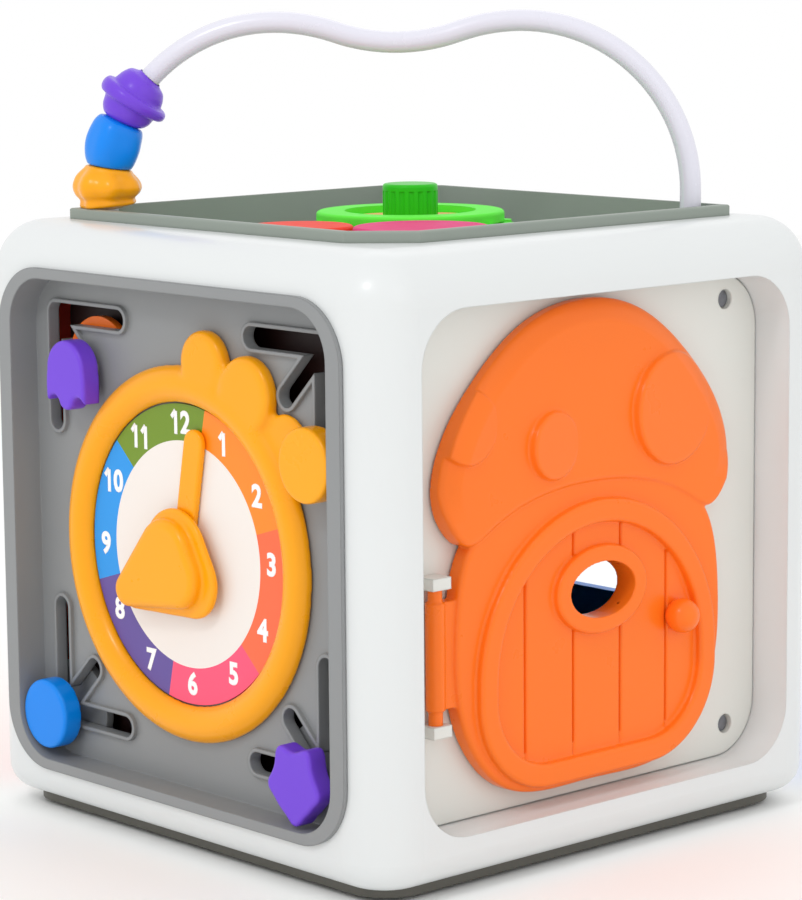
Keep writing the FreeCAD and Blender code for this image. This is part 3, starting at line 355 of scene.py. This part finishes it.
# the door: its cap falls away towards the outline in a broad slope, its three spots lean out to the left,
# and the planks are parted by fine grooves
door = {"cell": 0.32, "passes": 2, "sideFrom": 74.2 * mm, "sideTo": 76.2 * mm, "sideNormal": 0.25,
        "faceFrom": 74.3 * mm, "face": 78.9 * mm, "cap": 79 * mm, "capLow": 97 * mm, "capFade": 8 * mm,
        "slope": 6 * mm, "slopeCurve": 1.3, "drop": 2.2 * mm,
        "spots": ((-47.5, 121.5, 10), (-17, 113.5, 9.2), (28.5, 119, 15.5)), "spotFrom": 0.1 * mm,
        "spotMargin": 0.4, "lean": 2.3, "leanLeast": 0.05,
        "planks": ((-27, 80), (-9, 90), (9, 90), (27, 80)), "plankLow": 32 * mm,
        "plankFace": (77.7 * mm, 78.5 * mm), "grooveHalf": 0.5 * mm, "grooveDeep": 1.1 * mm}


def doorSkin():
    piece = softSkin("mushroom_door", "mushroom_door_skin", door["cell"], door["passes"], "door",
                     "orange_plastic", absOrange)
    mesh = piece.data
    sides = [v.co.copy() for v in mesh.vertices
             if abs(v.normal.x) < door["sideNormal"] and door["sideFrom"] < v.co.x < door["sideTo"]]
    tree = KDTree(len(sides))
    for step, spot in enumerate(sides):
        tree.insert((0, spot.y, spot.z), step)
    tree.balance()
    low, high = door["plankFace"]
    for v in mesh.vertices:
        x, y, z = v.co
        for spotY, spotZ, radius in door["spots"]:
            across, up = y / mm - spotY, z / mm - spotZ
            if x > door["cap"] + door["spotFrom"] and math.hypot(across, up) < radius + door["spotMargin"]:
                lean = max(door["leanLeast"], door["lean"] * (0.5 - 0.5 * across / radius))
                v.co.x = door["cap"] + (x - door["cap"]) * lean
        if x > door["faceFrom"] and z > door["capLow"]:
            gap = tree.find((0, y, z))[2] / door["slope"]
            if gap < 1:
                fade = min(1, (z - door["capLow"]) / door["capFade"])
                rise = min(1, (x - door["faceFrom"]) / (door["face"] - door["faceFrom"]))
                v.co.x -= door["drop"] * fade * rise * (1 - gap) ** door["slopeCurve"]
        if low < x < high and z > door["plankLow"]:
            for plankY, top in door["planks"]:
                near = abs(y - plankY * mm) / door["grooveHalf"]
                if near < 1 and z < top * mm:
                    v.co.x -= door["grooveDeep"] * (1 - near ** 2)
    mesh.update()


doorSkin()
softSkin("door_knob", "door_knob_skin", 0.35, 4, "door", "orange_plastic", absOrange)
print("stage: door")


# beads: closed rings whose section is a flowing loop of (reach, along) points in mm, bent along the
# handle's quarter turn
arc = {"reach": -34.5 * mm, "height": 175.5 * mm, "radius": 47.5 * mm, "bore": 3.4, "side": math.sqrt(0.5)}
lumps = {"from": 6, "over": 4, "gain": 1.6, "around": 96, "loop": 48}
beads = {
    "orange_bead": {
        "angle": 2, "slot": "yellow_plastic", "material": absYellow, "lumps": 7, "deep": 0.9, "turned": 12,
        "loop": ((0, -5.3), (6.6, -5.4), (8.1, -4.8), (8.0, -3.3), (9.3, -1.9), (10, 0.1), (9.2, 2.5),
                 (7.3, 4.5), (5.8, 5.6), (0, 5.6))},
    "blue_bead": {
        "angle": 16.9, "slot": "blue_plastic", "material": absBlue, "lumps": 5, "deep": 0.8, "turned": 20,
        "loop": ((0, -6.5), (5.4, -6.6), (6.8, -5.6), (7.7, -3.2), (8.1, -0.4), (7.8, 2.8), (7.1, 5.3),
                 (5.5, 6.6), (0, 6.6))},
    "purple_bead": {
        "angle": 33.5, "slot": "purple_plastic", "material": absPurple, "lumps": 1, "deep": 0, "turned": 0,
        "loop": ((0, -6.8), (5, -6.8), (7.0, -4.9), (7.8, -2.2), (9.3, -1.7), (10, -0.7), (10, 0.7),
                 (9.3, 1.7), (7.8, 2.2), (6.9, 4.7), (5, 6.8), (0, 6.8))}}


def along(loop, share):  # a point on the loop, eased through its corners
    count = len(loop)
    at = share * count
    step, part = int(at) % count, at - int(at)
    p, q, r, t = (loop[(step + k) % count] for k in (-1, 0, 1, 2))
    return [0.5 * (2 * q[k] + (r[k] - p[k]) * part + (2 * p[k] - 5 * q[k] + 4 * r[k] - t[k]) * part ** 2
                   + (3 * q[k] - p[k] - 3 * r[k] + t[k]) * part ** 3) for k in (0, 1)]


def bead(name, values):
    around, loops, side = lumps["around"], lumps["loop"], arc["side"]
    bpy.ops.mesh.primitive_torus_add(major_segments=around, minor_segments=loops, major_radius=1,
                                     minor_radius=0.3)
    piece = bpy.context.object
    bpy.ops.object.mode_set(mode="EDIT")
    grid = bmesh.from_edit_mesh(piece.data)
    grid.verts.ensure_lookup_table()
    for vert in grid.verts:
        ring, spot = divmod(vert.index, loops)
        turn = math.tau * ring / around
        reach, height = along(values["loop"], spot / loops)
        lump = 0.5 - 0.5 * math.cos(values["lumps"] * turn + math.radians(values["turned"]))
        swell = max(0, (reach - lumps["from"]) / lumps["over"])
        reach = max(arc["bore"], reach - values["deep"] * lump * min(1, swell * lumps["gain"]))
        bend = math.radians(values["angle"]) + height * mm / arc["radius"]
        out = arc["radius"] + reach * mm * math.cos(turn)
        level = arc["reach"] - out * math.cos(bend)
        cross = reach * mm * math.sin(turn)
        vert.co = (side * (level - cross), side * (level + cross), arc["height"] + out * math.sin(bend))
    bmesh.ops.recalc_face_normals(grid, faces=grid.faces)
    bmesh.update_edit_mesh(piece.data)
    bpy.ops.object.mode_set(mode="OBJECT")
    bpy.ops.object.shade_smooth()
    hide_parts(name)
    return settle(piece, name + "_skin", name, values["material"])


for name, values in beads.items():
    bead(name, values)
print("stage: beads")


# the print in the green gear's dish: a flower of peach petals on a lemon one
flower = {"middle": (1.8 * mm, 3 * mm), "height": 168.26 * mm, "petals": 4, "petalCurve": 0.7,
          "points": 160, "thick": 0.08 * mm, "lift": 1.5,
          "layers": (("lemon", 16, 2, 0, printLemon), ("peach", 14, 2.6, 1, printPeach))}


def flowerPrint():
    for label, mean, swing, level, material in flower["layers"]:
        bpy.ops.mesh.primitive_circle_add(vertices=flower["points"], radius=1, fill_type="TRIFAN")
        piece = bpy.context.object
        bpy.ops.object.mode_set(mode="EDIT")
        grid = bmesh.from_edit_mesh(piece.data)
        for vert in grid.verts:
            if vert.co.length > 0.5:
                turn = math.atan2(vert.co.y, vert.co.x)
                petal = abs(math.cos(flower["petals"] * turn)) ** flower["petalCurve"]
                vert.co = vert.co.normalized() * (mean + swing * petal) * mm
        bmesh.update_edit_mesh(piece.data)
        bpy.ops.object.mode_set(mode="OBJECT")
        thick = piece.modifiers.new("thick", "SOLIDIFY")
        thick.thickness = flower["thick"]
        thick.offset = 1
        applyAll(piece)
        piece.location = (*flower["middle"], flower["height"] + level * flower["lift"] * flower["thick"])
        settle(piece, f"gear_print_{label}", "green_gear", material)


flowerPrint()
print("stage: gear print")


# the camera stands where the photographer stood
camera = {"place": (0.67805, -0.61454, 0.24232), "azimuth": 47.8, "down": 8.72, "roll": -0.51,
          "lens": 130.1, "sensor": 36, "nearest": 0.01}


def addCamera():
    bpy.ops.object.camera_add(location=camera["place"])
    eye = bpy.context.object
    turn, down = math.radians(camera["azimuth"]), math.radians(camera["down"])
    ahead = Vector((-math.sin(turn) * math.cos(down), math.cos(turn) * math.cos(down), -math.sin(down)))
    eye.rotation_euler = ahead.to_track_quat("-Z", "Y").to_euler()
    eye.rotation_euler.rotate_axis("Z", math.radians(camera["roll"]))
    eye.data.lens = camera["lens"]
    eye.data.sensor_width = camera["sensor"]
    eye.data.clip_start = camera["nearest"]
    bpy.context.scene.camera = eye


addCamera()

# plain soft light; each lamp is (place, width, power) and faces the cube
studio = {"floor": 3.0, "floorColour": "#FAFAF9", "world": "#FFFFFF", "worldPower": 1.0,
          "aim": (0, 0, 0.08), "key": ((0.35, -1.05, 1.1), 0.22, 3), "fill": ((1.4, -0.1, 0.8), 0.9, 0.8),
          "rim": ((-0.9, 0.9, 1.3), 0.9, 1)}


def addStudio():
    bpy.ops.mesh.primitive_plane_add(size=studio["floor"])
    floor = bpy.context.object
    floor.name = "floor"
    paper = mouldedPlastic("paperSweep", studio["floorColour"], 0.8, grain=0.0, drift=0.004)
    floor.data.materials.append(paper)
    for name in ("key", "fill", "rim"):
        place, wide, power = studio[name]
        bpy.ops.object.light_add(type="AREA", location=place)
        lamp = bpy.context.object
        lamp.name = name + "Light"
        lamp.data.size = wide
        lamp.data.energy = power
        lamp.rotation_mode = "QUATERNION"
        lamp.rotation_quaternion = (Vector(studio["aim"]) - Vector(place)).to_track_quat("-Z", "Y")
    world = bpy.data.worlds.new("studio")
    bpy.context.scene.world = world
    world.use_nodes = True
    sky = world.node_tree.nodes["Background"]
    sky.inputs["Color"].default_value = linear(studio["world"])
    sky.inputs["Strength"].default_value = studio["worldPower"]
    bpy.context.scene.view_settings.view_transform = "Standard"


addStudio()
print("stage: camera and lights")
